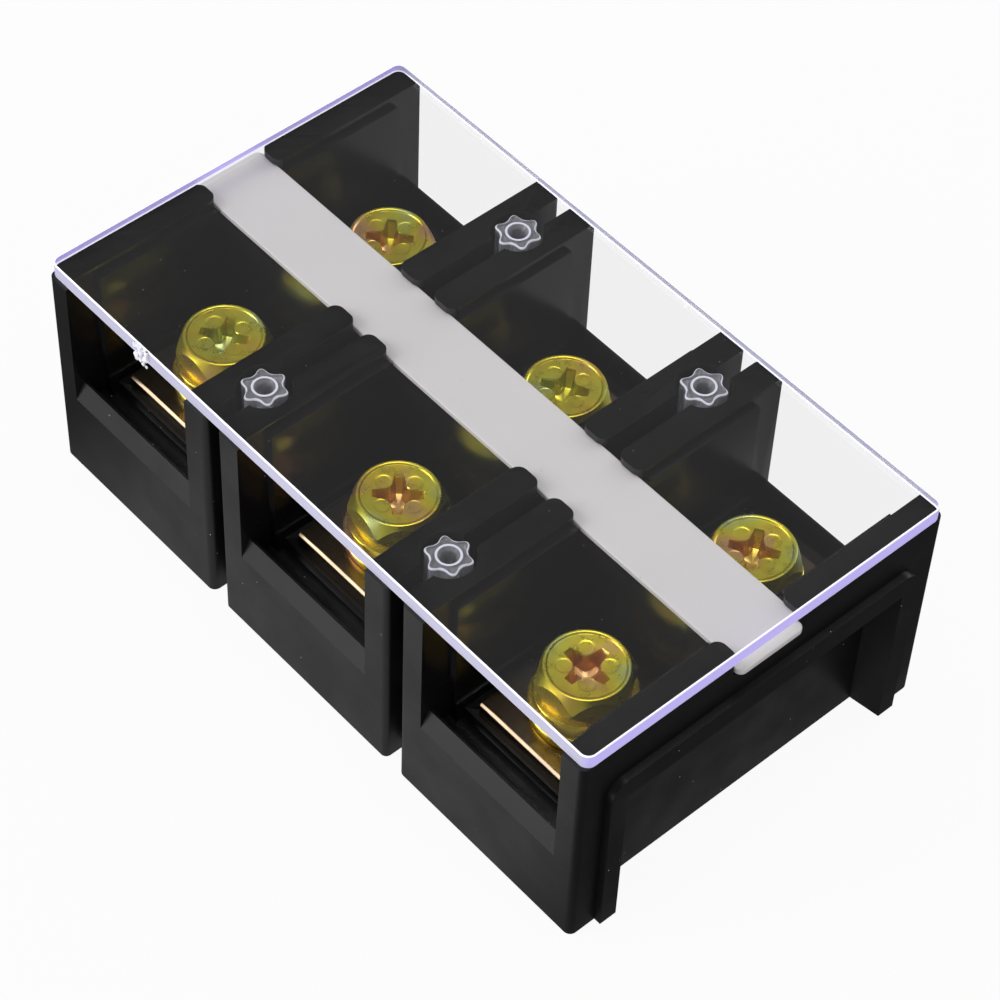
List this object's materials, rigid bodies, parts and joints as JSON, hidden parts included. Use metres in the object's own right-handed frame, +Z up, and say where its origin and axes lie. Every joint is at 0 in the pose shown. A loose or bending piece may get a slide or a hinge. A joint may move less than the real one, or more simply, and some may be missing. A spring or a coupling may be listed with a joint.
{
  "type": "barrier terminal strip",
  "caption": "Panel-mounted barrier terminal strip: glossy black base with open wire cells, plated screw terminals on through bars, a marker strip and a clear lift-off cover.",
  "frame": {"origin": "middle of the underside of the base", "axes": "+X along the row of poles towards pole 3, +Y towards the rear wire entries, +Z up"},
  "size_m": [0.1194, 0.0682, 0.042],
  "materials": {
    "black_phenolic": "glossy black moulded phenolic",
    "clear_cover": "clear moulded polycarbonate",
    "marker_plastic": "pale grey vinyl",
    "bar_metal": "dull plated brass",
    "yellow_zinc": "yellow passivated zinc plate"
  },
  "bodies": {
    "base": {"base": "black_phenolic", "contact_bar_1": "bar_metal", "contact_bar_2": "bar_metal", "contact_bar_3": "bar_metal"},
    "cover": {"cover": "clear_cover"},
    "marker_strip": {"marker_strip": "marker_plastic"},
    "front_washers_1": {"front_spring_washer_1": "yellow_zinc", "front_flat_washer_1": "yellow_zinc"},
    "front_screw_1": {"front_screw_1": "yellow_zinc"},
    "front_washers_2": {"front_spring_washer_2": "yellow_zinc", "front_flat_washer_2": "yellow_zinc"},
    "front_screw_2": {"front_screw_2": "yellow_zinc"},
    "front_washers_3": {"front_spring_washer_3": "yellow_zinc", "front_flat_washer_3": "yellow_zinc"},
    "front_screw_3": {"front_screw_3": "yellow_zinc"},
    "rear_washers_1": {"rear_spring_washer_1": "yellow_zinc", "rear_flat_washer_1": "yellow_zinc"},
    "rear_screw_1": {"rear_screw_1": "yellow_zinc"},
    "rear_washers_2": {"rear_spring_washer_2": "yellow_zinc", "rear_flat_washer_2": "yellow_zinc"},
    "rear_screw_2": {"rear_screw_2": "yellow_zinc"},
    "rear_washers_3": {"rear_spring_washer_3": "yellow_zinc", "rear_flat_washer_3": "yellow_zinc"},
    "rear_screw_3": {"rear_screw_3": "yellow_zinc"}
  },
  "joints": [
    {"name": "cover_lift", "type": "slide", "parent": "base", "child": "cover", "axis": [0, 0, 1], "range_m": [0, 0.03]},
    {"name": "strip_slide", "type": "slide", "parent": "base", "child": "marker_strip", "axis": [1, 0, 0], "range_m": [0, 0.1]},
    {"name": "front_rise_1", "type": "slide", "parent": "base", "child": "front_washers_1", "axis": [0, 0, 1], "range_m": [0, 0.0081]},
    {"name": "front_turn_1", "type": "hinge", "parent": "front_washers_1", "child": "front_screw_1", "pos_m": [-0.0402, -0.0161, 0.0227], "axis": [0, 0, 1], "range_deg": [0, 2304]},
    {"name": "front_rise_2", "type": "slide", "parent": "base", "child": "front_washers_2", "axis": [0, 0, 1], "range_m": [0, 0.0081]},
    {"name": "front_turn_2", "type": "hinge", "parent": "front_washers_2", "child": "front_screw_2", "pos_m": [0, -0.0161, 0.0227], "axis": [0, 0, 1], "range_deg": [0, 2304]},
    {"name": "front_rise_3", "type": "slide", "parent": "base", "child": "front_washers_3", "axis": [0, 0, 1], "range_m": [0, 0.0081]},
    {"name": "front_turn_3", "type": "hinge", "parent": "front_washers_3", "child": "front_screw_3", "pos_m": [0.0402, -0.0161, 0.0227], "axis": [0, 0, 1], "range_deg": [0, 2304]},
    {"name": "rear_rise_1", "type": "slide", "parent": "base", "child": "rear_washers_1", "axis": [0, 0, 1], "range_m": [0, 0.0081]},
    {"name": "rear_turn_1", "type": "hinge", "parent": "rear_washers_1", "child": "rear_screw_1", "pos_m": [-0.0402, 0.0161, 0.0227], "axis": [0, 0, 1], "range_deg": [0, 2304]},
    {"name": "rear_rise_2", "type": "slide", "parent": "base", "child": "rear_washers_2", "axis": [0, 0, 1], "range_m": [0, 0.0081]},
    {"name": "rear_turn_2", "type": "hinge", "parent": "rear_washers_2", "child": "rear_screw_2", "pos_m": [0, 0.0161, 0.0227], "axis": [0, 0, 1], "range_deg": [0, 2304]},
    {"name": "rear_rise_3", "type": "slide", "parent": "base", "child": "rear_washers_3", "axis": [0, 0, 1], "range_m": [0, 0.0081]},
    {"name": "rear_turn_3", "type": "hinge", "parent": "rear_washers_3", "child": "rear_screw_3", "pos_m": [0.0402, 0.0161, 0.0227], "axis": [0, 0, 1], "range_deg": [0, 2304]}
  ],
  "couplings": [
    {"joint": "front_rise_1", "follows": "front_turn_1", "m_per_rad": 0.00019894},
    {"joint": "front_rise_2", "follows": "front_turn_2", "m_per_rad": 0.00019894},
    {"joint": "front_rise_3", "follows": "front_turn_3", "m_per_rad": 0.00019894},
    {"joint": "rear_rise_1", "follows": "rear_turn_1", "m_per_rad": 0.00019894},
    {"joint": "rear_rise_2", "follows": "rear_turn_2", "m_per_rad": 0.00019894},
    {"joint": "rear_rise_3", "follows": "rear_turn_3", "m_per_rad": 0.00019894}
  ]
}
